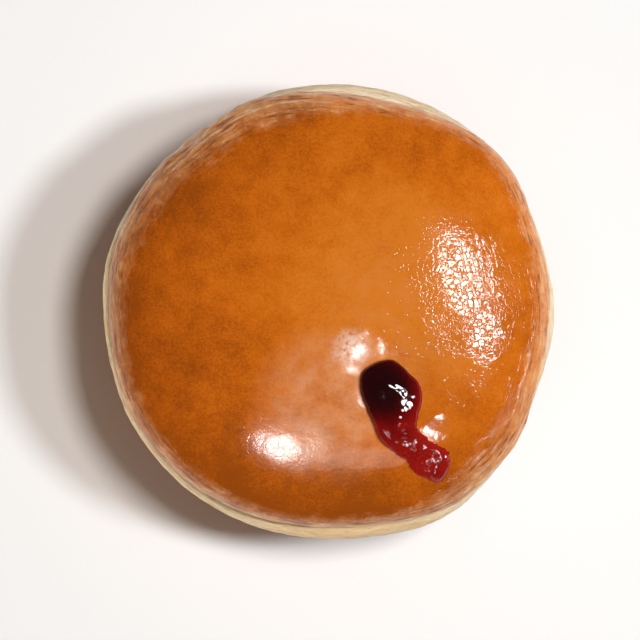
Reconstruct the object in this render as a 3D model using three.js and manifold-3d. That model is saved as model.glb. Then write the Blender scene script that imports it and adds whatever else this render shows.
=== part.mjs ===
// A glazed jam-filled doughnut: the fried bun, its sugar glaze, and the jam that wells out of the top.
// Millimetres, +Z up. The origin is on the surface it stands on, under the middle of its bounding box.

import * as THREE from "three";
import { mergeVertices } from "three/addons/utils/BufferGeometryUtils.js";
import Module from "manifold-3d";

// ---- Driving dimensions ----

// The bun, as radii from its own axis and heights above its underside.
const WAIST_RADIUS = 45; // the widest part, on the pale band
const WAIST_HEIGHT = 20;
const CREASE_RADIUS = 42.6; // where the brown crown meets the pale band
const CREASE_HEIGHT = 27;
const CROWN_TOP = 39.4; // top of the dough
const CROWN_FULLNESS = 2.6; // 2 is an ellipse, more is flatter on top with a rounder shoulder
const BAND_FULLNESS = 2.3; // the same for the pale band, which stands out below the crown
const BASE_RADIUS = 26; // the flat that it stands on
const BASE_FULLNESS = 2.2;

// The rim isn't round. It starts from a circle, and each swell has a direction and a spread in degrees,
// and stands out by so many mm.
const RIM_CIRCLE = 43;
const RIM_SWELLS = [
  { direction: -3, spread: 92, out: 3.3 },
  { direction: 18, spread: 15, out: -1.7 },
  { direction: 126, spread: 9, out: -1.3 },
  { direction: 166, spread: 10, out: 0.8 },
  { direction: 226, spread: 24, out: 0.6 },
  { direction: 300, spread: 11, out: 1.4 },
  { direction: 337, spread: 14, out: -1.9 },
];

// The glaze coats the crown. Its lower edge rises and falls round the crease.
const GAP = 0.3; // clearance between touching pieces
const GLAZE_THICKNESS = 0.9;
const EDGE_THICKNESS = 0.35; // at its lower edge
const EDGE_TAPER = 6; // a higher power keeps the full thickness closer to the edge
const EDGE_LIFT = 4; // how far round the crown's curve the edge stops, in degrees
const EDGE_WAVES = [
  { count: 3, height: 1.6, phase: 20 },
  { count: 5, height: 1.1, phase: 75 },
  { count: 11, height: 0.7, phase: 10 },
];

// The filling hole, in plan from the bun's axis, and the jam in it.
const HOLE_CENTRE = new THREE.Vector2(11.6, -14.2);
const HOLE_RADIUS = 4.3;
const HOLE_FLOOR = 26; // height of its rounded bottom
const HOLE_FLOOR_RADIUS = 2; // rounding at the bottom's edge
const PIN_OVERLAP = 1; // how far the jam in the hole runs up into the jam above it
const ABOVE_ALL = 60; // where a cut down the hole starts

// The jam on the crust is a chain of blobs: place in plan, half length, half width, rise and direction.
const JAM_BLOBS = [
  { x: 12.0, y: -14.9, length: 6.0, width: 5.7, rise: 2.2, direction: -60 },
  { x: 12.7, y: -20.8, length: 6.4, width: 4.9, rise: 1.9, direction: -75 },
  { x: 15.8, y: -26.2, length: 5.6, width: 4.3, rise: 1.5, direction: -48 },
  { x: 20.2, y: -29.6, length: 4.8, width: 3.9, rise: 1.2, direction: -68 },
];

// Facets
const ROUND_STEPS = 72;
const CROWN_STEPS = 14;
const BAND_STEPS = 5;
const BASE_STEPS = 8;
const HOLE_STEPS = 28;
const BLOB_ROUND_STEPS = 24;
const BLOB_HEIGHT_STEPS = 12;

// ---- The bun's shape ----

const UP = new THREE.Vector3(0, 0, 1);
const rightAngle = Math.PI / 2;
const radians = THREE.MathUtils.degToRad;

// The rim's radius in a direction given in radians, as a share of the waist's.
function rimScale(angle) {
  let radius = RIM_CIRCLE;
  for (const swell of RIM_SWELLS) {
    const away = (1 - Math.cos(angle - radians(swell.direction))) / radians(swell.spread) ** 2;
    radius += swell.out * Math.exp(-away);
  }
  return radius / WAIST_RADIUS;
}

// A point of the crown's profile, grown outwards by some mm. The turn is 0 at the crease and 90° on the axis.
function crownPoint(turn, grown) {
  const power = 2 / CROWN_FULLNESS;
  const across = Math.max(Math.cos(turn), 0);
  return new THREE.Vector2(
    (CREASE_RADIUS + grown) * across ** power,
    CREASE_HEIGHT + (CROWN_TOP - CREASE_HEIGHT + grown) * Math.sin(turn) ** power,
  );
}

// The height of the grown crown over a place in plan.
function crownHeight(x, y, grown) {
  const share = Math.hypot(x, y) / rimScale(Math.atan2(y, x)) / (CREASE_RADIUS + grown);
  const lift = (1 - share ** CROWN_FULLNESS) ** (1 / CROWN_FULLNESS);
  return CREASE_HEIGHT + (CROWN_TOP - CREASE_HEIGHT + grown) * lift;
}

// The direction that the grown crown faces there.
function crownNormal(x, y, grown) {
  const step = 0.1;
  const height = crownHeight(x, y, grown);
  const fallX = (height - crownHeight(x + step, y, grown)) / step;
  const fallY = (height - crownHeight(x, y + step, grown)) / step;
  return new THREE.Vector3(fallX, fallY, 1).normalize();
}

// Turn a profile of (radius, height) points about the Z axis.
function revolve(profile, steps) {
  return new THREE.LatheGeometry(profile, steps).rotateX(rightAngle);
}

// Give a turned body the rim's outline.
function shapeRim(geometry) {
  const places = geometry.attributes.position;
  for (let i = 0; i < places.count; i++) {
    const scale = rimScale(Math.atan2(places.getY(i), places.getX(i)));
    places.setXY(i, places.getX(i) * scale, places.getY(i) * scale);
  }
  return geometry;
}

function crownProfile(grown) {
  const points = [];
  for (let i = 0; i <= CROWN_STEPS; i++) {
    points.push(crownPoint(rightAngle * i / CROWN_STEPS, grown));
  }
  points[CROWN_STEPS].x = 0;
  return points;
}

// ---- Solids for cutting and joining ----

const wasm = await Module();
wasm.setup();

function toSolid(geometry) {
  geometry.deleteAttribute("normal");
  geometry.deleteAttribute("uv");
  const merged = mergeVertices(geometry, 1e-3);
  const corners = merged.index.array;
  const triangles = [];
  for (let i = 0; i < corners.length; i += 3) {
    const [a, b, c] = corners.subarray(i, i + 3);
    if (a !== b && b !== c && c !== a) {
      triangles.push(a, b, c);
    }
  }
  const mesh = new wasm.Mesh({
    numProp: 3,
    vertProperties: merged.attributes.position.array,
    triVerts: Uint32Array.from(triangles),
  });
  return new wasm.Manifold(mesh);
}

function toGeometry(solid) {
  const mesh = solid.getMesh();
  const geometry = new THREE.BufferGeometry();
  geometry.setAttribute("position", new THREE.BufferAttribute(mesh.vertProperties, 3));
  geometry.setIndex(new THREE.BufferAttribute(mesh.triVerts, 1));
  return geometry;
}

// A round pin down the filling hole, with a rounded lower end.
function holePin(radius, floor, top) {
  const profile = [new THREE.Vector2(0, floor)];
  const cornerSteps = 3;
  for (let i = 0; i <= cornerSteps; i++) {
    const turn = rightAngle * i / cornerSteps;
    profile.push(new THREE.Vector2(
      radius - HOLE_FLOOR_RADIUS + HOLE_FLOOR_RADIUS * Math.sin(turn),
      floor + HOLE_FLOOR_RADIUS - HOLE_FLOOR_RADIUS * Math.cos(turn),
    ));
  }
  profile.push(new THREE.Vector2(radius, top));
  profile.push(new THREE.Vector2(0, top));
  const pin = revolve(profile, HOLE_STEPS);
  pin.translate(HOLE_CENTRE.x, HOLE_CENTRE.y, 0);
  return toSolid(pin);
}

// ---- The pieces ----

function bunSolid() {
  const profile = [new THREE.Vector2(0, 0)];
  for (let i = 0; i < BASE_STEPS; i++) {
    const turn = rightAngle * i / BASE_STEPS;
    profile.push(new THREE.Vector2(
      BASE_RADIUS + (WAIST_RADIUS - BASE_RADIUS) * Math.sin(turn) ** (2 / BASE_FULLNESS),
      WAIST_HEIGHT - WAIST_HEIGHT * Math.cos(turn) ** (2 / BASE_FULLNESS),
    ));
  }
  for (let i = 0; i < BAND_STEPS; i++) {
    const turn = rightAngle * i / BAND_STEPS;
    profile.push(new THREE.Vector2(
      CREASE_RADIUS + (WAIST_RADIUS - CREASE_RADIUS) * Math.cos(turn) ** (2 / BAND_FULLNESS),
      WAIST_HEIGHT + (CREASE_HEIGHT - WAIST_HEIGHT) * Math.sin(turn) ** (2 / BAND_FULLNESS),
    ));
  }
  profile.push(...crownProfile(0));
  const dough = toSolid(shapeRim(revolve(profile, ROUND_STEPS)));
  return dough.subtract(holePin(HOLE_RADIUS, HOLE_FLOOR, ABOVE_ALL));
}

// How far round the crown's curve the glaze's edge stops in a direction, both in radians.
function glazeEdge(angle) {
  let lift = EDGE_LIFT;
  for (const wave of EDGE_WAVES) {
    lift += wave.height * Math.sin(wave.count * angle + radians(wave.phase));
  }
  return radians(lift);
}

// The glaze is turned as two faces that meet at its lower edge. Then each of its points slides along the
// crown's curve, so that the rows spread evenly between the wavy edge and the axis.
function glazeSolid() {
  const outer = crownProfile(GAP + GLAZE_THICKNESS);
  const inner = crownProfile(GAP).reverse();
  const coat = revolve([...inner, ...outer], ROUND_STEPS);
  const places = coat.attributes.position;
  const rows = outer.length + inner.length;
  for (let i = 0; i < places.count; i++) {
    const row = i % rows;
    const isOuter = row >= inner.length;
    const share = (isOuter ? row - inner.length : CROWN_STEPS - row) / CROWN_STEPS;
    const angle = Math.atan2(places.getY(i), places.getX(i));
    const turn = glazeEdge(angle) * (1 - share) + rightAngle * share;
    const thickness = GLAZE_THICKNESS - (GLAZE_THICKNESS - EDGE_THICKNESS) * (1 - share) ** EDGE_TAPER;
    const point = crownPoint(turn, isOuter ? GAP + thickness : GAP);
    const radius = share === 1 ? 0 : point.x * rimScale(angle);
    places.setXYZ(i, radius * Math.cos(angle), radius * Math.sin(angle), point.y);
  }
  return toSolid(coat).subtract(holePin(HOLE_RADIUS, HOLE_FLOOR, ABOVE_ALL));
}

function jamSolid() {
  const seat = GAP + GLAZE_THICKNESS + GAP;
  const mouth = crownHeight(HOLE_CENTRE.x, HOLE_CENTRE.y, seat);
  let jam = holePin(HOLE_RADIUS - GAP, HOLE_FLOOR + GAP, mouth + PIN_OVERLAP);
  const profile = [new THREE.Vector2(0, CREASE_HEIGHT), ...crownProfile(seat)];
  const crown = toSolid(shapeRim(revolve(profile, ROUND_STEPS)));
  for (const blob of JAM_BLOBS) {
    const shape = new THREE.SphereGeometry(1, BLOB_ROUND_STEPS, BLOB_HEIGHT_STEPS);
    shape.rotateX(rightAngle);
    shape.scale(blob.length, blob.width, blob.rise);
    shape.rotateZ(radians(blob.direction));
    shape.applyQuaternion(new THREE.Quaternion().setFromUnitVectors(UP, crownNormal(blob.x, blob.y, seat)));
    shape.translate(blob.x, blob.y, crownHeight(blob.x, blob.y, seat));
    jam = jam.add(toSolid(shape).subtract(crown));
  }
  return jam;
}

// ---- The object ----

function piece(name, solid, look) {
  const mesh = new THREE.Mesh(toGeometry(solid), new THREE.MeshStandardMaterial(look));
  mesh.name = name;
  return mesh;
}

const doughnut = new THREE.Group();
doughnut.add(
  piece("bun", bunSolid(), { color: 0xb0875c, roughness: 0.6, metalness: 0 }),
  piece("glaze", glazeSolid(), { color: 0xc0661a, roughness: 0.2, metalness: 0 }),
  piece("jam", jamSolid(), { color: 0x6e0a10, roughness: 0.08, metalness: 0 }),
);

// Bring the middle of the bounding box over the origin.
const middle = new THREE.Box3().setFromObject(doughnut).getCenter(new THREE.Vector3());
doughnut.position.set(-middle.x, -middle.y, 0);

export default doughnut;
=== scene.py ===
# %% [markdown]
# # A glazed doughnut with jam
#
# A yeast doughnut is fried on one side, turned, and fried on the other. The two browned halves meet at a
# pale band round the waist, where the dough floated above the oil. It is then dipped in thin sugar glaze
# and filled, and here the jam has welled out of the filling hole and run a little way down the crown.
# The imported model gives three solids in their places: the bun, the glaze and the jam. Each is plain, so
# each gets a finer mesh here, made round the same dimensions, and a finish of its own.

# %% Load the frame
import math

import bmesh
import bpy
import numpy as np
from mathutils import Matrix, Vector, noise


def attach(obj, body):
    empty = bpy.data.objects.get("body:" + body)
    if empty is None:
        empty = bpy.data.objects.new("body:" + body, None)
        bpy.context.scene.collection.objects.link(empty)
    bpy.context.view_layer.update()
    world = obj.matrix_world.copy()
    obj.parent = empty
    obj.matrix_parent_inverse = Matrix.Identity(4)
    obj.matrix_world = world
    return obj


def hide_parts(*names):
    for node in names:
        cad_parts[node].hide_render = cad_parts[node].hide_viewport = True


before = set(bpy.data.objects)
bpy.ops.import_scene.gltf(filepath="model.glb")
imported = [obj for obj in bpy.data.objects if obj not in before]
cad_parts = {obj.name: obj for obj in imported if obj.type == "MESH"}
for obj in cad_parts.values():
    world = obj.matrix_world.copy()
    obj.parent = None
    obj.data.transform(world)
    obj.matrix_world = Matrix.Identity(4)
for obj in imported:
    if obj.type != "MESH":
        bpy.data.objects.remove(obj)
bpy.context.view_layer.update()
MM = 0.001
print("solids in the frame:", sorted(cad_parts))

# %% [markdown]
# ## The dimensions that everything follows
#
# The heights and radii repeat those of the solids, in millimetres from the bun's own axis. The rim isn't
# round: dough swells and flattens where it was handled. A few smooth swells, each with a direction and a
# spread, say that in a way that a person can change.

# %% The bun's dimensions
WAIST_RADIUS = 45.0
WAIST_HEIGHT = 20.0
CREASE_HEIGHT = 27.0
CROWN_TOP = 39.4
CROWN_FULLNESS = 2.6
BAND_FULLNESS = 2.3
BASE_RADIUS = 26.0
BASE_FULLNESS = 2.2

GLAZE_THICKNESS = 0.55
EDGE_THICKNESS = 0.16
GLAZE_GAP = 0.08
HOLE_CENTRE = (11.6, -14.2)
HOLE_RADIUS = 4.3
HOLE_FLOOR = 26.0

RIM_CIRCLE = 43.0
RIM_SWELLS = [  # direction and spread in degrees, how far out in mm
    (-3, 92, 3.3),
    (18, 15, -1.7),
    (126, 9, -1.3),
    (166, 10, 0.8),
    (226, 24, 0.6),
    (300, 11, 1.4),
    (337, 14, -1.9),
]
BAND_LEDGE = 1.75  # how far the pale band stands out beyond the crown
LEDGE_SWELLS = [
    (15, 9, -0.7),
    (40, 12, -1.9),
    (78, 12, 0.8),
    (126, 17, -1.7),
    (203, 10, -0.5),
    (272, 22, 1.1),
    (327, 13, -2.0),
]


def swollen(angle, start, swells):
    """A length that swells smoothly in some directions. The angle is in radians."""
    length = np.full(np.shape(angle), float(start))
    for direction, spread, out in swells:
        away = (1 - np.cos(angle - math.radians(direction))) / math.radians(spread) ** 2
        length = length + out * np.exp(-away)
    return length


def rim_radius(angle):
    return swollen(angle, RIM_CIRCLE, RIM_SWELLS)


def crease_radius(angle):
    return rim_radius(angle) - swollen(angle, BAND_LEDGE, LEDGE_SWELLS)


round_trip = np.linspace(0, 2 * math.pi, 720, endpoint=False)
rim_x = rim_radius(round_trip) * np.cos(round_trip)
rim_y = rim_radius(round_trip) * np.sin(round_trip)
AXIS = np.array([-(rim_x.min() + rim_x.max()) / 2, -(rim_y.min() + rim_y.max()) / 2, 0.0])
print("the bun's axis stands at", AXIS.round(2), "mm; its rim is", np.ptp(rim_x).round(1), "by",
      np.ptp(rim_y).round(1), "mm")

# %% [markdown]
# ## Camera and floor
#
# The doughnut lies on a pale floor, under a camera that looks straight down. The lens is worked out from
# the width that the frame spans at the waist, so the framing stays the same if the distance is changed. A
# bigger distance would flatten the view. The floor is one plane, so large that its edges never show.

# %% Camera and floor
VIEW_WIDTH = 0.128  # what the frame spans at the waist, in metres
CAMERA_DISTANCE = 0.8  # from the waist, in metres
CAMERA_SHIFT = (-1.7, -1.8)  # from the bun's axis, in mm
SENSOR = 36.0
FLOOR_SIZE = 6  # in metres

camera_data = bpy.data.cameras.new("camera")
camera_data.sensor_width = SENSOR
camera_data.lens = SENSOR * CAMERA_DISTANCE / VIEW_WIDTH
camera = bpy.data.objects.new("camera", camera_data)
waist_place = (AXIS + np.array([*CAMERA_SHIFT, WAIST_HEIGHT])) * MM
camera.location = waist_place + np.array([0, 0, CAMERA_DISTANCE])
bpy.context.scene.collection.objects.link(camera)
bpy.context.scene.camera = camera
bpy.context.scene.view_settings.view_transform = "Standard"

bpy.ops.mesh.primitive_plane_add(size=FLOOR_SIZE)
floor = bpy.context.object
floor.name = "floor"
print("camera", round(camera_data.lens), "mm lens, at", tuple(round(x, 3) for x in camera.location))

# %% [markdown]
# ## Light
#
# Two lamps stand to the right, a high one and a lower, stronger one, so two soft shadows fall to the left.
# A long low one at the lower left skims over the floor and lights the pale band on that side. What a glossy
# crown mirrors is set apart from what lights it: five more lamps show only in the gloss, each placed where
# the crown should carry a sheen. The room is dark, because a glossy crown mirrors it too, and a bright
# ceiling would veil the colour of the crust.

# %% Lamps
LAMP_DISTANCE = 1.4  # in metres
WHITE = (1.0, 1.0, 1.0)
ROOM = (0.041, 0.031, 0.023, 1)


def lamp(name, azimuth, elevation, size, power, colour):
    """A lamp that faces the crown. Azimuth runs from +X towards +Y, and size is its width and height."""
    data = bpy.data.lights.new(name, "AREA")
    data.shape = "ELLIPSE"
    data.size, data.size_y = size
    data.energy = power
    data.color = colour
    turn = math.radians(azimuth)
    rise = math.radians(elevation)
    away = Vector((math.cos(turn) * math.cos(rise), math.sin(turn) * math.cos(rise), math.sin(rise)))
    thing = bpy.data.objects.new(name, data)
    thing.location = away * LAMP_DISTANCE + Vector((0, 0, CREASE_HEIGHT * MM))
    thing.rotation_euler = away.to_track_quat("Z", "Y").to_euler()
    bpy.context.scene.collection.objects.link(thing)
    return thing


shading = [
    lamp("low_lamp", 3, 52, (0.23, 0.23), 12.1, (0.92, 1.0, 1.05)),
    lamp("high_lamp", 27, 70, (0.29, 0.29), 10.8, (1.06, 1.0, 0.97)),
    lamp("left_fill", 216, 5, (1.5, 0.18), 12.0, (1.0, 0.92, 0.8)),
]
for thing in shading:
    thing.visible_glossy = False
sheens = [
    lamp("low_sheen", -7.0, 59.4, (0.115, 0.30), 4.3, WHITE),
    lamp("high_sheen", 13.6, 67.4, (0.235, 0.27), 6.0, WHITE),
    lamp("front_sheen", -108, 65, (0.10, 0.10), 3.1, WHITE),
    lamp("strip_sheen", -88, 64, (0.60, 0.28), 0.9, (1.1, 0.95, 0.8)),
    lamp("side_sheen", -50, 67, (0.11, 0.11), 1.7, WHITE),
]
for thing in sheens:
    thing.visible_diffuse = False

world = bpy.data.worlds.new("room")
world.use_nodes = True
world.node_tree.nodes["Background"].inputs["Color"].default_value = ROOM
bpy.context.scene.world = world
print(len(shading), "lamps that light and", len(sheens), "that show in the gloss")

# %% [markdown]
# ## Rings of dough
#
# Anything that was round before it was handled can start as a profile that is spun into rings. Each point
# of the profile carries a station, which says how far along the bun's curve it lies: 0 to 1 across the
# flat underside, 1 to 2 up the side to the waist, 2 to 3 up the pale band to the crease, and 3 to 4 over
# the crown to the axis. The spin hands the station to every ring. A sculpting step then knows where on the
# bun each point is, and can lay it on the swollen outline instead of the circle.

# %% The bun's curve
def power_curve(turn, fullness):
    """The two legs of a full quarter turn: how far across and how far up, each from 0 to 1."""
    across = np.clip(np.cos(turn), 0, 1) ** (2 / fullness)
    up = np.clip(np.sin(turn), 0, 1) ** (2 / fullness)
    return across, up


def on_bun(station, angle, grown=0.0):
    """Radius and height of a point of the dough, in mm. The crown can be grown outwards by some mm."""
    waist, crease = rim_radius(angle), crease_radius(angle)
    base = BASE_RADIUS * waist / WAIST_RADIUS
    share = np.clip(station, 0, 4) % 1.0
    turn = share * math.pi / 2
    side_in, _ = power_curve(math.pi / 2 - turn, BASE_FULLNESS)
    side_left, _ = power_curve(turn, BASE_FULLNESS)
    crown_out, crown_up = power_curve(turn, CROWN_FULLNESS)
    band_out, band_up = power_curve(turn, BAND_FULLNESS)
    stretch = np.minimum(np.floor(station), 3).astype(int)
    top = station >= 4
    crown_out = np.where(top, 0, crown_out)
    crown_up = np.where(top, 1, crown_up)
    radius = np.choose(stretch, [
        base * share,
        base + (waist - base) * side_in,
        crease + (waist - crease) * band_out,
        (crease + grown) * crown_out,
    ])
    height = np.choose(stretch, [
        0 * share,
        WAIST_HEIGHT * (1 - side_left),
        WAIST_HEIGHT + (CREASE_HEIGHT - WAIST_HEIGHT) * band_up,
        CREASE_HEIGHT + (CROWN_TOP - CREASE_HEIGHT + grown) * crown_up,
    ])
    return radius, height


def spun(stations, steps, cuts):
    """Rings of a round bun: a chain of points on its curve is spun about the axis, and then each ring's
    edges are cut again, which is much quicker than more steps. A station below 0 is on an inner face."""
    mesh = bmesh.new()
    layer = mesh.verts.layers.float.new("station")
    chain = []
    for station in stations:
        radius, height = on_bun(np.float64(abs(station)), np.float64(0))
        grown = 1.0 if station < 0 else 0.0
        point = mesh.verts.new((float(radius) * MM, 0, (float(height) - grown) * MM))
        point[layer] = station
        chain.append(point)
    edges = [mesh.edges.new(pair) for pair in zip(chain, chain[1:])]
    bmesh.ops.spin(mesh, geom=chain + edges, cent=(0, 0, 0), axis=(0, 0, 1), angle=2 * math.pi,
                   steps=steps, use_merge=True)
    bmesh.ops.remove_doubles(mesh, verts=mesh.verts[:], dist=0.001 * MM)
    rings = [e for e in mesh.edges if abs(e.verts[0][layer] - e.verts[1][layer]) < 1e-6]
    bmesh.ops.subdivide_edges(mesh, edges=rings, cuts=cuts, use_grid_fill=True)
    bmesh.ops.triangulate(mesh, faces=[f for f in mesh.faces if len(f.verts) > 4])
    return mesh


def rings_read(mesh):
    """The station and the angle of every point, as arrays."""
    layer = mesh.verts.layers.float["station"]
    station = np.array([point[layer] for point in mesh.verts], float)
    places = np.array([point.co for point in mesh.verts], float)
    return station, np.arctan2(places[:, 1], places[:, 0])


# %% [markdown]
# ## Relief by hand and by noise
#
# A sculptor's strokes are small moves along the surface. Here they are fields: a value for every point,
# made from smooth noise, ridged noise or a soft-edged spot. Broad ones make the crown uneven, long thin
# ones run round the rim where the skin wrinkled as the bun cooled, and a wide soft one sinks the crown
# round the hole.

# %% Noise and spots
def noise_field(places, size, shift):
    """Smooth noise from -1 to 1 at places in mm, with features about as wide as size. The shift picks the
    part of the noise, so two fields with different shifts don't repeat each other."""
    scaled = places / np.asarray(size, float) + shift
    return np.array([noise.noise(point) for point in scaled.tolist()])


def smooth(low, high, value):
    """0 below low, 1 above high and a smooth rise between them."""
    share = np.clip((value - low) / (high - low), 0, 1)
    return share * share * (3 - 2 * share)


def spot(x, y, centre, width):
    """A soft spot, 1 at its centre."""
    return np.exp(-((x - centre[0]) ** 2 + (y - centre[1]) ** 2) / (2 * width ** 2))


# %% [markdown]
# ## The lie of the crown
#
# A real crown is never an even dome. It has broad swells, a sunken collar where the hole was pricked, and a
# few places that dried almost flat. A highlight is the picture of a lamp in that dome, so where it lies and
# how wide it spreads is set by the fall of the surface there. Each flat place below has its own fall.

# %% The crown's relief
COLLAR_SINK = 1.5  # how deep the crown sinks round the hole, in mm
COLLAR_WIDTH = 7.5
CROWN_DENTS = [  # place in plan, width and depth in mm
    (17.5, -15.5, 2.2, 0.2),
]
CROWN_FACETS = [  # place in plan, fall towards +X and +Y in mm per mm, radius in mm and flatness
    (27.4, 5.8, 0.170, 0.038, 8.5, 0.5),
    (30.6, -4.4, 0.241, -0.036, 4.6, 0.65),
    (5.8, -7.8, 0.135, -0.165, 4.2, 0.85),
    (-8.2, -26.6, -0.078, -0.224, 3.0, 0.4),
    (21.5, -22.0, 0.10, -0.25, 3.0, 0.6),
]


def crown_over(x, y):
    """The smooth crown's height over a place in plan, in mm, and how far up its curve that is, 0 to 1."""
    share = np.clip(np.hypot(x, y) / (crease_radius(np.arctan2(y, x)) + GLAZE_THICKNESS), 0, 1)
    left = 1 - share ** CROWN_FULLNESS
    rise = CROWN_TOP - CREASE_HEIGHT + GLAZE_THICKNESS
    return CREASE_HEIGHT + rise * left ** (1 / CROWN_FULLNESS), left ** 0.5


def crown_relief(x, y):
    """How far the crown stands above its smooth curve at a place in plan, in mm."""
    flat = np.stack([x, y, np.zeros_like(x)], axis=-1)
    relief = 0.12 * noise_field(flat, 26, 3.1) + 0.05 * noise_field(flat, 9, 7.7)
    relief = relief + 0.02 * noise_field(flat, 3.2, 1.9)
    away = np.hypot(x - HOLE_CENTRE[0], y - HOLE_CENTRE[1])
    relief = relief - COLLAR_SINK * np.exp(-(away / COLLAR_WIDTH) ** 2)
    for dent_x, dent_y, width, sink in CROWN_DENTS:
        relief = relief - sink * spot(x, y, (dent_x, dent_y), width)
    smooth_height, _ = crown_over(x, y)
    for facet_x, facet_y, fall_x, fall_y, size, flatness in CROWN_FACETS:
        level, _ = crown_over(np.float64(facet_x), np.float64(facet_y))
        plane = level - fall_x * (x - facet_x) - fall_y * (y - facet_y)
        inside = flatness * np.exp(-(np.hypot(x - facet_x, y - facet_y) / size) ** 3)
        relief = relief + inside * (plane - smooth_height - relief)
    return relief


# %% [markdown]
# ## Wrinkles round the rim
#
# Where crown meets band the skin shrank into long thin wrinkles that follow the rim. Noise on plain X, Y
# and Z would cut across them. So every point also gets a place that goes with the rim: two coordinates for
# the way round and one for how far in it lies. Noise on those, pulled long on the first two, does follow it.

# %% Wrinkles
BAND_REACH = 6  # how far the band's places go out from the crease, in mm
REFLECTION_BAND_WIDTH = 3.3  # how far in from the crease the painted pale reflection on the glaze reaches, in mm
REFLECTION_BAND_SWELLS = [
    (120, 32, 2.7),
    (60, 22, -0.9),
    (272, 30, -1.0),
    (0, 25, 0.2),
    (320, 16, 2.2),
]
WRINKLE_STRENGTH = 0.35
WRINKLE_SWELLS = [
    (130, 28, 1.0),
    (0, 30, 0.6),
    (240, 30, 0.1),
    (310, 16, 0.6),
]


def ring_places(station, angle):
    """Places that follow the rim, in mm: a circle for the way round, and how far in from the crease."""
    crown_out, _ = power_curve((np.clip(station, 3, 4) - 3) * math.pi / 2, CROWN_FULLNESS)
    inward = crease_radius(angle) * (1 - np.where(station >= 4, 0, crown_out))
    inward = np.where(station < 3, (station - 3) * BAND_REACH, inward)
    return np.stack([np.cos(angle) * RIM_CIRCLE, np.sin(angle) * RIM_CIRCLE, inward], axis=-1)


def reflection_band_width(angle):
    return swollen(angle, REFLECTION_BAND_WIDTH, REFLECTION_BAND_SWELLS)


def rim_wrinkles(station, angle):
    """Long thin wrinkles that run round the rim, in mm along the normal."""
    ring = ring_places(station, angle)
    inward = ring[..., 2]
    drift = 0.5 * noise_field(ring, (7, 7, 4), 8.2)
    drifted = ring + np.stack([0 * drift, 0 * drift, drift], axis=-1)
    coarse = 1 - 2 * np.abs(noise_field(drifted, (8, 8, 1.3), 5.3))
    fine = 1 - 2 * np.abs(noise_field(drifted, (3.5, 3.5, 0.6), 11.9))
    strength = swollen(angle, WRINKLE_STRENGTH, WRINKLE_SWELLS)
    reach = reflection_band_width(angle)
    where = smooth(reach * 1.7, reach * 0.8, inward) * strength
    return where * (0.24 * coarse + 0.13 * fine)


# %% [markdown]
# ## The bun
#
# The dough is one closed skin: underside, side, band, crease and crown. The pale band stretched as the bun
# rose, so it has small folds and pits of its own. The filling hole is sunk from the top, by pushing down
# the points inside its circle.

# %% From rings to a piece
def to_piece(mesh, name):
    """Finish a bmesh as an object of its own, smooth and with its faces pointing out."""
    bmesh.ops.recalc_face_normals(mesh, faces=mesh.faces[:])
    data = bpy.data.meshes.new(name)
    mesh.to_mesh(data)
    mesh.free()
    data.shade_smooth()
    thing = bpy.data.objects.new(name, data)
    bpy.context.scene.collection.objects.link(thing)
    print(name, len(data.vertices), "points,", sum(len(f.vertices) - 2 for f in data.polygons), "triangles")
    return thing


def lay(mesh, radius, height, angle):
    """Put every point at a radius, height and angle about the bun's axis, all in mm."""
    places = np.stack([radius * np.cos(angle), radius * np.sin(angle), height], axis=-1) + AXIS
    for point, place in zip(mesh.verts, places * MM):
        point.co = place


def keep_ring(mesh, station, angle):
    """Leave two layers for the finishes: places along the rim, and how far in across the band of painted
    reflection at the edge.
    """
    ring_layer = mesh.verts.layers.float_vector.new("ring")
    reflection_layer = mesh.verts.layers.float.new("reflection_band")
    ring = ring_places(station, angle)
    reflection_band = ring[:, 2] / reflection_band_width(angle)
    for point, place, share in zip(mesh.verts, ring.tolist(), reflection_band.tolist()):
        point[ring_layer] = place
        point[reflection_layer] = share


# %% Model the bun
HOLE_WALL = 0.7  # how wide the wall of the hole is in plan, in mm


def crown_skin(station, angle, depth):
    """Radius and height on the outside of the crown, or some mm inside it."""
    radius, height = on_bun(station, angle, GLAZE_THICKNESS - depth)
    x, y = radius * np.cos(angle), radius * np.sin(angle)
    lift = np.sin(np.clip(station - 3, 0, 1) * math.pi / 2)
    height = height + crown_relief(x, y) * lift
    stand = rim_wrinkles(station, angle)
    return radius + stand * (1 - lift * lift) ** 0.5, height + stand * lift


def dent_hole(radius, height, angle, floor, width):
    """Push the points inside the filling hole down to its floor."""
    away = np.hypot(radius * np.cos(angle) - HOLE_CENTRE[0], radius * np.sin(angle) - HOLE_CENTRE[1])
    inside = smooth(width, width - HOLE_WALL, away)
    return np.where(height > CREASE_HEIGHT, height * (1 - inside) + floor * inside, height)


def share_range(start, end, count, ease=1.0):
    """Stations from start to end, spread so that an ease above 1 packs them near the start."""
    return [start + (end - start) * (i / count) ** ease for i in range(count)]


bun_stations = (share_range(0, 1, 5) + share_range(1, 2, 40) + share_range(2, 3, 30)
                + share_range(3, 4, 60) + [4])
bun_mesh = spun(bun_stations, 100, 3)
station, angle = rings_read(bun_mesh)
radius, height = on_bun(station, angle)
on_crown = station > 3
skin_radius, skin_height = crown_skin(station, angle, GLAZE_THICKNESS + GLAZE_GAP)
radius = np.where(on_crown, skin_radius, radius)
height = np.where(on_crown, skin_height, height)
body = np.stack([radius * np.cos(angle), radius * np.sin(angle), height], axis=-1)
folds = 0.18 * noise_field(body, (11, 11, 1.8), 4.4) + 0.13 * noise_field(body, (4, 4, 0.8), 8.8)
folds = folds + 0.16 * noise_field(body, (1.9, 1.9, 1.0), 2.8)
pits = -0.25 * smooth(0.35, 0.7, noise_field(body, 1.5, 6.1))
on_band = smooth(1.05, 1.5, station) * smooth(3.0, 2.9, station)
radius = radius + (folds + pits) * on_band
height = dent_hole(radius, height, angle, HOLE_FLOOR, HOLE_RADIUS)
lay(bun_mesh, radius, height, angle)
keep_ring(bun_mesh, station, angle)
bun = to_piece(bun_mesh, "bun_dough")
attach(bun, "root")
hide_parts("bun")

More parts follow.
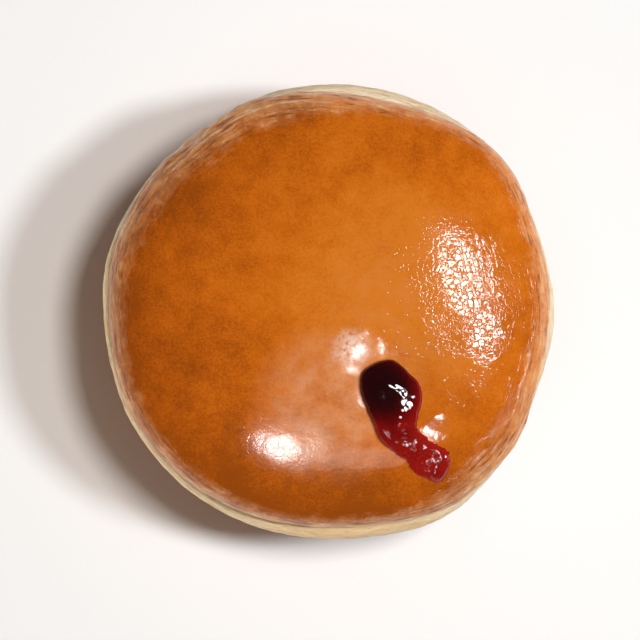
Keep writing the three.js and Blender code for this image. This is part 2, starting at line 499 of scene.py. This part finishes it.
# %% [markdown]
# ## The glaze
#
# The glaze is a thin shell on the crown. Its profile runs out along the outer face and back along the
# inner one, so that the spin gives a closed skin with a thin lip at the lower edge. Sugar glaze drains
# before it sets, so the lip wanders up and down round the crease and the shell thins towards it.

# %% Model the glaze
EDGE_LIFT = 0.035  # where the lip stops, as a share of the crown's curve above the crease
EDGE_THINNING = 9  # how fast the shell thins towards the lip


def glaze_edge(angle):
    """Where the lip stops in each direction, as a share of the crown's curve."""
    around = np.stack([np.cos(angle), np.sin(angle), 0 * angle], axis=-1)
    return EDGE_LIFT + 0.022 * noise_field(around * 2.3, 1, 4.0) + 0.014 * noise_field(around * 9, 1, 9.0)


outer_stations = share_range(3, 4, 130, 1.4) + [4]
inner_stations = [-s for s in share_range(3, 4, 26) + [3.999999]][::-1]
glaze_mesh = spun(inner_stations + outer_stations, 140, 3)
station, angle = rings_read(glaze_mesh)
inner_face = station < 0
share = np.abs(station) - 3
edge = glaze_edge(angle)
slid = np.where(share > 0.9999, 4.0, 3 + edge + (1 - edge) * share)
thickness = GLAZE_THICKNESS - (GLAZE_THICKNESS - EDGE_THICKNESS) * (1 - share) ** EDGE_THINNING
outer_radius, outer_height = crown_skin(slid, angle, GLAZE_THICKNESS - thickness)
inner_radius, inner_height = crown_skin(slid, angle, GLAZE_THICKNESS)
radius = np.where(inner_face, inner_radius, outer_radius)
height = np.where(inner_face, inner_height, outer_height)
lay(glaze_mesh, radius, height, angle)
keep_ring(glaze_mesh, slid, angle)
glaze = to_piece(glaze_mesh, "sugar_glaze")
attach(glaze, "root")
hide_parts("glaze")

# %% [markdown]
# ## The jam
#
# Jam is thick and wet: it bulges out of the hole, slumps in lobes and ends in a thin tail. Its outline is
# two banks along a run. A sphere gives closed rings from the hole's end to the tip. Each ring is laid
# across the run between its banks, the lower half rests on the glaze, and the upper half rises by the
# jam's depth. Inside the hole the lower half is pulled down to the floor.

# %% The jam's run
JAM_RUN = [  # left bank x, y and right bank x, y down the run, and the jam's depth there, in mm
    (8.6, -10.5, 8.6, -10.5, 0.0),
    (7.1, -11.3, 10.3, -9.7, 1.0),
    (6.2, -12.7, 12.9, -9.7, 1.9),
    (6.1, -14.9, 15.9, -12.2, 2.5),
    (6.7, -17.3, 17.9, -14.6, 2.7),
    (7.8, -19.9, 18.3, -17.6, 2.6),
    (8.9, -22.6, 17.5, -20.6, 2.3),
    (10.1, -25.3, 17.4, -23.0, 1.9),
    (12.4, -27.4, 18.8, -24.5, 1.3),
    (15.1, -29.4, 20.7, -26.0, 1.0),
    (17.2, -31.8, 22.7, -26.9, 0.9),
    (19.2, -33.1, 23.8, -28.4, 0.9),
    (21.2, -33.7, 23.6, -31.2, 0.7),
    (22.4, -33.4, 22.4, -33.4, 0.0),
]
JAM_GAP = 0.05
JAM_WELL = (10.2, -14.6)  # where the jam is deepest, over the hole
WELL_DEPTH = 5.5
THIN_SPOT = (14.1, -22.5)  # where light comes through the jam
print("the jam runs through", len(JAM_RUN), "marks")

# %% [markdown]
# ## Lobes and wet faces
#
# The top of the run isn't smooth. It slumps in lobes, with dents between them. Wet jam also shows each lamp
# as a small sharp highlight, and it shows it only where the surface falls in one certain way. A few small
# flat faces are given that fall, so the highlights lie where the run would catch the light.

# %% Lobes and faces of the jam
JAM_LOBES = [  # place in plan, width and how far the top bulges there, in mm
    (10.4, -14.2, 2.4, 0.6),
    (17.5, -16.4, 0.7, 0.25),
    (13.9, -22.2, 1.3, 0.9),
    (17.4, -27.4, 1.1, 0.2),
    (21.2, -32.0, 0.9, 0.6),
    (22.4, -28.9, 0.8, 0.4),
    (16.0, -21.6, 0.8, -0.5),
    (12.1, -23.6, 0.5, -0.4),
    (14.6, -25.2, 0.5, -0.4),
    (19.2, -29.2, 1.2, -0.3),
]
HIGH_SHEEN_FALL = (0.177, 0.060)  # the fall towards +X and +Y that mirrors that lamp upwards
LOW_SHEEN_FALL = (0.255, -0.031)
SIDE_SHEEN_FALL = (0.116, -0.142)
DARK_FALL = (0.33, 0.12)  # mirrors none of them
JAM_FACES = [  # place in plan, radius in mm and fall
    (13.1, -14.6, 0.35, HIGH_SHEEN_FALL),
    (14.4, -16.3, 0.6, DARK_FALL),
    (15.9, -18.2, 0.8, LOW_SHEEN_FALL),
    (14.0, -20.7, 0.7, HIGH_SHEEN_FALL),
    (15.0, -24.0, 0.85, LOW_SHEEN_FALL),
    (15.3, -26.2, 0.6, HIGH_SHEEN_FALL),
    (13.2, -25.6, 0.45, HIGH_SHEEN_FALL),
    (11.8, -24.7, 0.4, HIGH_SHEEN_FALL),
    (10.9, -23.5, 0.35, HIGH_SHEEN_FALL),
    (20.3, -32.3, 0.35, SIDE_SHEEN_FALL),
    (22.0, -32.4, 0.4, SIDE_SHEEN_FALL),
    (22.9, -28.6, 0.5, LOW_SHEEN_FALL),
]
print(len(JAM_LOBES), "lobes and dents,", len(JAM_FACES), "faces")

# %% [markdown]
# ## Laying the rings and raising them
#
# The sphere's rings are counted from pole to pole, and the count is read as a mark along the run. A smooth
# curve through the marks gives the two banks at every ring, with ragged edges towards the tail. Then the
# upper half is raised and its faces are flattened. No point may sink below the glaze or the hole's floor.

# %% Lay the jam's rings
def eased(values, at):
    """Values at marks 0, 1, 2 and so on, joined by a smooth curve."""
    slopes = np.gradient(values)
    i = np.clip(np.floor(at).astype(int), 0, len(values) - 2)
    t = at - i
    a, b = values[i], values[i + 1]
    return ((2 * t ** 3 - 3 * t ** 2 + 1) * a + (t ** 3 - 2 * t ** 2 + t) * slopes[i]
            + (3 * t ** 2 - 2 * t ** 3) * b + (t ** 3 - t ** 2) * slopes[i + 1])


def glaze_height(x, y):
    """The height of the glaze's outer face at a place in plan, in mm."""
    height, lift = crown_over(x, y)
    return height + crown_relief(x, y) * lift


jam_mesh = bmesh.new()
bmesh.ops.create_uvsphere(jam_mesh, u_segments=120, v_segments=190, radius=1)
ball = np.array([point.co for point in jam_mesh.verts], float)
run_table = np.array(JAM_RUN)
row = np.arccos(np.clip(ball[:, 2], -1, 1)) / math.pi * (len(JAM_RUN) - 1)
around = np.arctan2(ball[:, 1], ball[:, 0])
left_x, left_y, right_x, right_y, depth = (eased(run_table[:, k], row) for k in range(5))
side = np.cos(around)
tail = smooth(7, 9, row)
ragged = noise_field(np.stack([row / 0.5, np.sign(side) * 2, 0 * row], axis=-1), 1, 3.3)
jagged = noise_field(np.stack([row / 0.16, np.sign(side) * 2, 0 * row], axis=-1), 1, 6.3)
side = side * (1 + ((0.03 + 0.07 * tail) * ragged + 0.07 * tail * jagged) * np.abs(side))
x = (left_x + right_x) / 2 + side * (right_x - left_x) / 2
y = (left_y + right_y) / 2 + side * (right_y - left_y) / 2
ground = glaze_height(x, y)
upper = np.sin(around) > 0
print("the jam's outline spans", np.ptp(x).round(1), "by", np.ptp(y).round(1), "mm")

# %% Raise the jam
flat = np.stack([x, y, 0 * x], axis=-1)
lobes = 0.08 * noise_field(flat, 2.4, 2.7) + 0.03 * noise_field(flat, 1.1, 5.9)
lobes = lobes + tail * (0.14 * noise_field(flat, 0.9, 4.4) + 0.06 * noise_field(flat, 0.45, 1.4))
for lobe_x, lobe_y, width, rise in JAM_LOBES:
    lobes = lobes + rise * spot(x, y, (lobe_x, lobe_y), width)
thin_bank = tail * smooth(-0.2, 0.6, side)
bulge = np.abs(np.sin(around)) ** (0.85 + 0.7 * thin_bank)
end = smooth(0, 1, row) * smooth(len(JAM_RUN) - 1, len(JAM_RUN) - 2, row)
jam_rise = np.maximum((depth + lobes * bulge * end) * bulge, 0)
from_hole = np.hypot(x - HOLE_CENTRE[0], y - HOLE_CENTRE[1])
in_hole = smooth(HOLE_RADIUS - 0.4, HOLE_RADIUS - 1.2, from_hole)
bottom = (ground + JAM_GAP) * (1 - in_hole) + (HOLE_FLOOR + 0.4) * in_hole
z = np.where(upper, ground + JAM_GAP + jam_rise, bottom)
for face_x, face_y, size, fall in JAM_FACES:
    away = np.hypot(x - face_x, y - face_y)
    level = z[np.argmin(np.where(upper, away, np.inf))]
    plane = level - fall[0] * (x - face_x) - fall[1] * (y - face_y)
    z = z + np.exp(-(away / size) ** 4) * upper * (plane - z)
z = np.maximum(z, bottom)
print("the jam stands up to", jam_rise.max().round(2), "mm above the glaze")

# %% Finish the jam's mesh
for point, place in zip(jam_mesh.verts, (np.stack([x, y, z], axis=-1) + AXIS) * MM):
    point.co = place
depth_layer = jam_mesh.verts.layers.float.new("depth")
over_hole = np.hypot(x - JAM_WELL[0], y - JAM_WELL[1])
jam_depth = jam_rise * 0.55 + WELL_DEPTH * smooth(2.0 * HOLE_RADIUS, 0.3 * HOLE_RADIUS, over_hole)
jam_depth = jam_depth * (1 - 0.6 * spot(x, y, THIN_SPOT, 0.9))
for point, value in zip(jam_mesh.verts, jam_depth):
    point[depth_layer] = float(value)
jam = to_piece(jam_mesh, "jam_run")
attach(jam, "root")
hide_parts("jam")

# %% [markdown]
# ## Writing finishes as sums
#
# A finish is a net of small nodes, and most of them do arithmetic. The class below stands for one output
# socket. Adding or multiplying such wires in Python, or raising them to a power, adds the Math nodes that
# do the same for every point of the surface. Anything that isn't arithmetic comes from one method, which
# names the node, its settings and what its sockets take.

# %% Wires
class Wire:
    """One output socket of a finish's node tree."""

    def __init__(self, tree, socket):
        self.tree = tree
        self.socket = socket

    def node(self, kind, settings, sockets, output=0):
        """Add a node, give it its settings and then its sockets, and return the wire of one output."""
        node = self.tree.nodes.new(kind)
        for name, value in settings.items():
            if name == "stops":
                ramp = node.color_ramp
                for i, (place, colour) in enumerate(value):
                    stop = ramp.elements[i] if i < 2 else ramp.elements.new(place)
                    stop.position = place
                    stop.color = (*colour, 1)
            else:
                setattr(node, name, value)
        for name, value in sockets.items():
            if isinstance(value, Wire):
                self.tree.links.new(value.socket, node.inputs[name])
            else:
                node.inputs[name].default_value = value
        return Wire(self.tree, node.outputs[output])

    def math(self, operation, *terms):
        """A Math node on these terms, which are wires or numbers."""
        return self.node("ShaderNodeMath", {"operation": operation}, dict(enumerate(terms)))

    def __add__(self, other):
        return self.math("ADD", self, other)

    __radd__ = __add__

    def __sub__(self, other):
        return self.math("SUBTRACT", self, other)

    def __rsub__(self, other):
        return self.math("SUBTRACT", other, self)

    def __mul__(self, other):
        return self.math("MULTIPLY", self, other)

    __rmul__ = __mul__

    def __pow__(self, other):
        return self.math("POWER", self, other)

    def step(self, low, high):
        """0 where this wire is at low, 1 where it is at high, smooth between, either way round."""
        return self.node("ShaderNodeMapRange", {"interpolation_type": "SMOOTHSTEP"},
                         {"Value": self, "From Min": low, "From Max": high}, "Result")

    def noise(self, size, detail=1.0, roughness=0.5, warp=0.0):
        """Noise from 0 to 1 on places in mm, with features about as wide as size."""
        return self.node("ShaderNodeTexNoise", {}, {
            "Vector": self, "Scale": 1 / size, "Detail": detail, "Roughness": roughness,
            "Distortion": warp}, "Fac")

    def cells(self, size, feature="F1"):
        """Distance to the nearest seed, or edge, of cells about as wide as size, on places in mm."""
        sockets = {"Vector": self, "Scale": 1 / size}
        return self.node("ShaderNodeTexVoronoi", {"feature": feature}, sockets, "Distance")

    def stretched(self, x, y, z):
        """Places scaled along each axis."""
        scales = (x, y, z)
        return self.node("ShaderNodeVectorMath", {"operation": "MULTIPLY"}, {0: self, 1: scales}, "Vector")

    def shifted(self, amount):
        """Places moved by another wire of vectors or by fixed amounts."""
        return self.node("ShaderNodeVectorMath", {"operation": "ADD"}, {0: self, 1: amount}, "Vector")

    def blend(self, first, second):
        """A mix of two colours. This wire says how much of the second shows."""
        return self.node("ShaderNodeMix", {"data_type": "RGBA"}, {0: self, 6: first, 7: second}, 2)


# %% Start and end a finish
def finish(name):
    """A new finish: its material, its shader node and the wire of places on the piece in mm."""
    material = bpy.data.materials.new(name)
    material.use_nodes = True
    tree = material.node_tree
    shader = tree.nodes["Principled BSDF"]
    coordinates = tree.nodes.new("ShaderNodeTexCoord")
    metres = Wire(tree, coordinates.outputs["Object"])
    centred = metres.shifted(tuple(float(-a) * MM for a in AXIS))
    return material, shader, centred.stretched(1 / MM, 1 / MM, 1 / MM)


def bump(wire, height):
    """A bent normal for relief in mm."""
    return wire.node("ShaderNodeBump", {}, {"Height": height, "Distance": MM, "Strength": 1.0}, "Normal")


def link(shader, name, wire):
    wire.tree.links.new(wire.socket, shader.inputs[name])


def coat_with(piece, material):
    piece.data.materials.append(material)
    print(material.name, "has", len(material.node_tree.nodes), "nodes")


# %% [markdown]
# ## The colour of the crust
#
# Fried crust is browned by touch with the oil: deep orange-brown over the crown and the underside, and
# cream on the band. Across the brown run broad clouds, blotches a few millimetres wide and fine grain.
# The edge of the brown is uneven and passes through gold. Glaze is clear, so its finish repeats the
# crust's colour, and both come from one function.

# %% Crust colour
CRUST = [  # by how far a place is from the lightest part of the crown
    (0.0, (0.64, 0.178, 0.015)),
    (0.4, (0.56, 0.128, 0.0055)),
    (0.7, (0.43, 0.090, 0.0040)),
    (1.0, (0.29, 0.060, 0.0035)),
]
# Painted light on the glaze: a pale reflection along its edge, a haze of reflected light, a highlight along
# its wrinkles, and a highlight by the collar.
PAINTED_EDGE_REFLECTION = (0.76, 0.38, 0.15, 1)
PAINTED_HAZE = (0.86, 0.56, 0.36, 1)
PAINTED_WRINKLE_HIGHLIGHT = (0.90, 0.60, 0.33, 1)
PAINTED_COLLAR_HIGHLIGHT = (0.93, 0.82, 0.72, 1)
GOLD = (0.62, 0.30, 0.08, 1)  # between brown and pale
TAN = (0.76, 0.52, 0.27, 1)
CREAM = (0.90, 0.74, 0.52, 1)
# Painted shade in the folds of the pale band.
FOLD_SHADE = (0.30, 0.11, 0.03, 1)
# Painted shade in the wrinkles of the glaze.
PAINTED_WRINKLE_SHADE = (0.24, 0.055, 0.006, 1)
LIGHT_CENTRE = (12, 4)  # the palest place of the crown in plan, in mm
DARKER_BY_MM = 0.0210
FRONT_EDGE = -26  # from this y on, the front gets darker faster
FRONT_DARKER_BY_MM = 0.02


def attribute(places, name, output="Fac"):
    return places.node("ShaderNodeAttribute", {"attribute_name": name}, {}, output)


def axes(places):
    parts = places.tree.nodes.new("ShaderNodeSeparateXYZ")
    places.tree.links.new(places.socket, parts.inputs[0])
    return tuple(Wire(places.tree, parts.outputs[k]) for k in range(3))


def away_from(x, y, centre):
    """How far a place is from a centre, in mm in plan."""
    return ((x - centre[0]) ** 2 + (y - centre[1]) ** 2) ** 0.5


def crust_colour(places, x, y):
    """The colour of fried crust at places in mm. It gets darker away from the palest place."""
    clouds = places.noise(13, 2, 0.5)
    blotches = places.noise(3.6, 3, 0.6)
    grain = places.noise(0.55, 2, 0.6)
    front = FRONT_EDGE - y
    front = front.math("MAXIMUM", front, 0.0) * FRONT_DARKER_BY_MM
    shade = away_from(x, y, LIGHT_CENTRE) * DARKER_BY_MM - 0.15 + front
    shade = shade + (clouds - 0.5) * 0.75 + (blotches - 0.5) * 0.7 + (grain - 0.5) * 0.7
    shade = shade + (places.noise(0.3, 2, 0.7) - 0.5) * 0.75
    return shade.node("ShaderNodeValToRGB", {"stops": CRUST}, {"Fac": shade}, "Color")


# %% [markdown]
# ## The finish of the dough
#
# The band is cream, streaked with tan, and has a few thin dark lines of painted shade along its folds.
# Towards the underside it turns gold and then brown, along an uneven edge. Dough is dull and porous, so the
# finish is rough, with pores and streaks as a bump.

# %% Finish the bun
TAN_SIDE_CENTRE = (6, -45)

dough_finish, shader, places = finish("fried_dough")
x, y, height = axes(places)
ring = attribute(places, "ring", "Vector")
strands = ring.stretched(0.2, 0.2, 1.9).noise(1, 4, 0.7)
blotches = places.noise(2.6, 3, 0.6)
band = (strands.step(0.38, 0.58) * 0.8 + blotches.step(0.4, 0.6) * 0.2).blend(TAN, CREAM)
# Towards the front the band is darker and more tan.
tan_side = away_from(x, y, TAN_SIDE_CENTRE).step(24, 8)
band = (tan_side * 0.75).blend(band, TAN)
# Thin dark lines of painted shade along the folds.
fold_shade = strands.step(0.42, 0.34) * blotches.step(0.35, 0.6)
band = (fold_shade * 0.6).blend(band, FOLD_SHADE)
edge_height = height + (blotches - 0.5) * 6
under = edge_height.step(14.5, 10.5)
toward_brown = edge_height.step(20.5, 12.5)
band = (toward_brown * 0.75).blend(band, GOLD)
link(shader, "Base Color", under.blend(band, crust_colour(places, x, y)))
pores = places.cells(1.1).step(0.0, 0.35) * 0.04
link(shader, "Normal", bump(places, pores + strands * 0.45 + places.noise(0.9, 2, 0.6) * 0.15))
shader.inputs["Roughness"].default_value = 0.6
shader.inputs["Specular IOR Level"].default_value = 0.3
coat_with(bun, dough_finish)

# %% [markdown]
# ## The finish of the glaze
#
# Glaze is clear, so the crust's colour shows through it. Along its steep edge a pale reflection is painted
# over the crust's colour, with a ragged inner border, and light and dark lines of painted highlight and
# painted shade run along its wrinkles. A fainter painted haze of reflected light lies in front of the hole
# and in the middle of the crown, and a speckled painted highlight lies by its collar.

# %% The colour of the glaze
FRONT_HAZE_CENTRE = (1, -18)  # centres on the crown in plan, in mm
MIDDLE_HAZE_CENTRE = (13, -2)
REFLECTION_BOOST_CENTRE = (-19, 38)
COLLAR_HIGHLIGHT_CENTRE = (4.6, -7.4)

glaze_finish, shader, places = finish("sugar_glaze_on_crust")
x, y, _ = axes(places)
ring = attribute(places, "ring", "Vector")
crust = crust_colour(places, x, y)
strands = ring.stretched(0.16, 0.16, 1.7).noise(1, 3, 0.6)
# A painted pale reflection along the steep edge of the glaze, with a ragged inner border.
reflection_border = attribute(places, "reflection_band") + (places.noise(3.5, 2, 0.5) - 0.5) * 1.1
reflection_border = reflection_border + (places.noise(0.8, 2, 0.6) - 0.5) * 0.5 + (strands - 0.5) * 1.3
reflection_band = reflection_border.step(1.3, 0.5)
reflection_band_edge = reflection_border.step(0.6, 0.1)
patchy = places.noise(2.4, 3, 0.6).step(0.35, 0.65)
# A painted haze of reflected light in front of the hole, and a fainter one in the middle of the crown.
painted_front_haze = away_from(x, y, FRONT_HAZE_CENTRE).step(18, 6) * (places.noise(4, 3, 0.65).step(0.3, 0.75) * 0.7 + 0.3)
painted_middle_haze = away_from(x, y, MIDDLE_HAZE_CENTRE).step(22, 4) * places.noise(4, 3, 0.6).step(0.3, 0.8)
# The painted edge reflection and the painted wrinkle highlights are stronger on this side.
reflection_boost = away_from(x, y, REFLECTION_BOOST_CENTRE).step(28, 12)
colour = (reflection_band * (0.18 + patchy * 0.24 + reflection_band_edge * 0.25 + reflection_boost * 0.1)).blend(crust, PAINTED_EDGE_REFLECTION)
painted_haze_share = painted_front_haze * 0.3
colour = painted_haze_share.math("MAXIMUM", painted_haze_share, painted_middle_haze * 0.06).blend(colour, PAINTED_HAZE)
# A speckled painted highlight by the collar of the hole.
painted_collar_highlight = (away_from(x, y, COLLAR_HIGHLIGHT_CENTRE) + places.noise(1.6, 3, 0.7) * 5).step(7.5, 3.5)
colour = (painted_collar_highlight * places.noise(0.8, 2, 0.6).step(0.3, 0.6) * 0.6).blend(colour, PAINTED_COLLAR_HIGHLIGHT)
# Painted highlights and painted shade, as light and dark lines along the wrinkles.
wrinkle_highlight = strands.step(0.53, 0.64) * reflection_band * (0.4 + reflection_band_edge * 0.35 + reflection_boost * 0.2)
wrinkle_shade = strands.step(0.46, 0.36) * reflection_band * 0.85
colour = wrinkle_shade.blend(wrinkle_highlight.blend(colour, PAINTED_WRINKLE_HIGHLIGHT), PAINTED_WRINKLE_SHADE)
link(shader, "Base Color", colour)

# %% [markdown]
# ## The skin of the glaze
#
# Dried glaze mirrors like varnish, and it is crinkled like thin film where it shrank. The crinkles are far
# finer than the mesh, so they are a bump: cells with creases between them, sparse pits, and ridges that
# follow the rim. They are strongest on one side. The edge band, where a pale reflection is painted, is
# duller than the rest, so it is rougher.

# %% The skin of the glaze
CREASED = (29, 3)  # centres on the crown in plan, in mm
RIDGED = (32, 10)
RUMPLED = (31, -6)
PITTED = (23, 0)
SOFT_SHEEN = (-8, -26)
COLLAR = (6, -8)

warped = places.shifted(places.node("ShaderNodeTexNoise", {}, {
    "Vector": places, "Scale": 0.9, "Detail": 2.0}, "Color"))
patch = (away_from(x, y, CREASED) + places.noise(3, 2, 0.5) * 6).step(17, 11) * 0.92 + 0.08
broken = places.noise(2.2, 2, 0.5).step(0.35, 0.6)
creased = warped.cells(1.3, "DISTANCE_TO_EDGE").step(0.0, 0.12) * (0.020 + broken * 0.024)
dimples = warped.cells(0.7).step(0.25, 0.0) * 0.012
ridges = ring.stretched(0.12, 0.12, 0.95).noise(1, 2, 0.5, 0.4) * 0.11
ridge_patch = away_from(x, y, RIDGED).step(9, 5)
rumple = places.noise(1.9, 1, 0.5) * away_from(x, y, RUMPLED).step(8, 4) * 0.07
pits = places.cells(0.8).step(0.34, 0.0) * places.noise(1.7, 1, 0.5).step(0.47, 0.58) * 0.03
near = away_from(x, y, PITTED).step(26, 12) * 0.92 + 0.08
everywhere = places.noise(1.6, 2, 0.55) * (0.024 - patch * 0.013)
sheen = away_from(x, y, SOFT_SHEEN).step(11, 4)
collar = away_from(x, y, COLLAR).step(7, 3)
skin = (creased - dimples) * patch + ridges * ridge_patch + rumple - pits * near + everywhere
link(shader, "Normal", bump(places, skin + strands * reflection_band * 0.3))
link(shader, "Roughness", reflection_band * 0.2 + painted_front_haze * 0.05 + sheen * 0.09 + collar * 0.06 + 0.08)
coat_with(glaze, glaze_finish)

# %% [markdown]
# ## The finish of the jam
#
# Jam swallows light by depth: a thin film is bright red, and a few millimetres are nearly black. Each
# point of the mesh carries its depth, and the colour falls off with it, fastest in green and blue.

# %% Finish the jam
JAM_FLESH = (0.50, 0.09, 0.045, 1)
THIN_JAM = {"Red": 0.31, "Green": 0.009, "Blue": 0.004}
FALL_BY_MM = {"Red": 0.58, "Green": 1.4, "Blue": 1.5}
DEEP_JAM = {"Red": 0.010, "Green": 0.0012, "Blue": 0.002}

jam_finish, shader, places = finish("red_jam")
depth = attribute(places, "depth")
pulp = places.noise(0.9, 3, 0.7)
path = depth * (0.5 + pulp * 1.1)
mixed = places.node("ShaderNodeCombineColor", {}, {
    name: path.math("EXPONENT", path * -FALL_BY_MM[name]) * THIN_JAM[name] + DEEP_JAM[name]
    for name in FALL_BY_MM})
fleshy = path.step(1.3, 0.4) * places.noise(0.5, 2, 0.6).step(0.50, 0.66) * 0.09
link(shader, "Base Color", fleshy.blend(mixed, JAM_FLESH))
link(shader, "Normal", bump(places, places.noise(0.7, 2, 0.5) * path.step(2.2, 0.8) * 0.035))
shader.inputs["Roughness"].default_value = 0.05
coat_with(jam, jam_finish)

# %% [markdown]
# ## The finish of the floor
#
# The floor is plain pale card. Its colour is the same all over, so it is set on the shader's own sockets.

# %% Finish the floor
PALE_CARD = (0.885, 0.875, 0.865, 1)

floor_finish, shader, _ = finish("pale_floor")
shader.inputs["Base Color"].default_value = PALE_CARD
shader.inputs["Roughness"].default_value = 0.7
coat_with(floor, floor_finish)
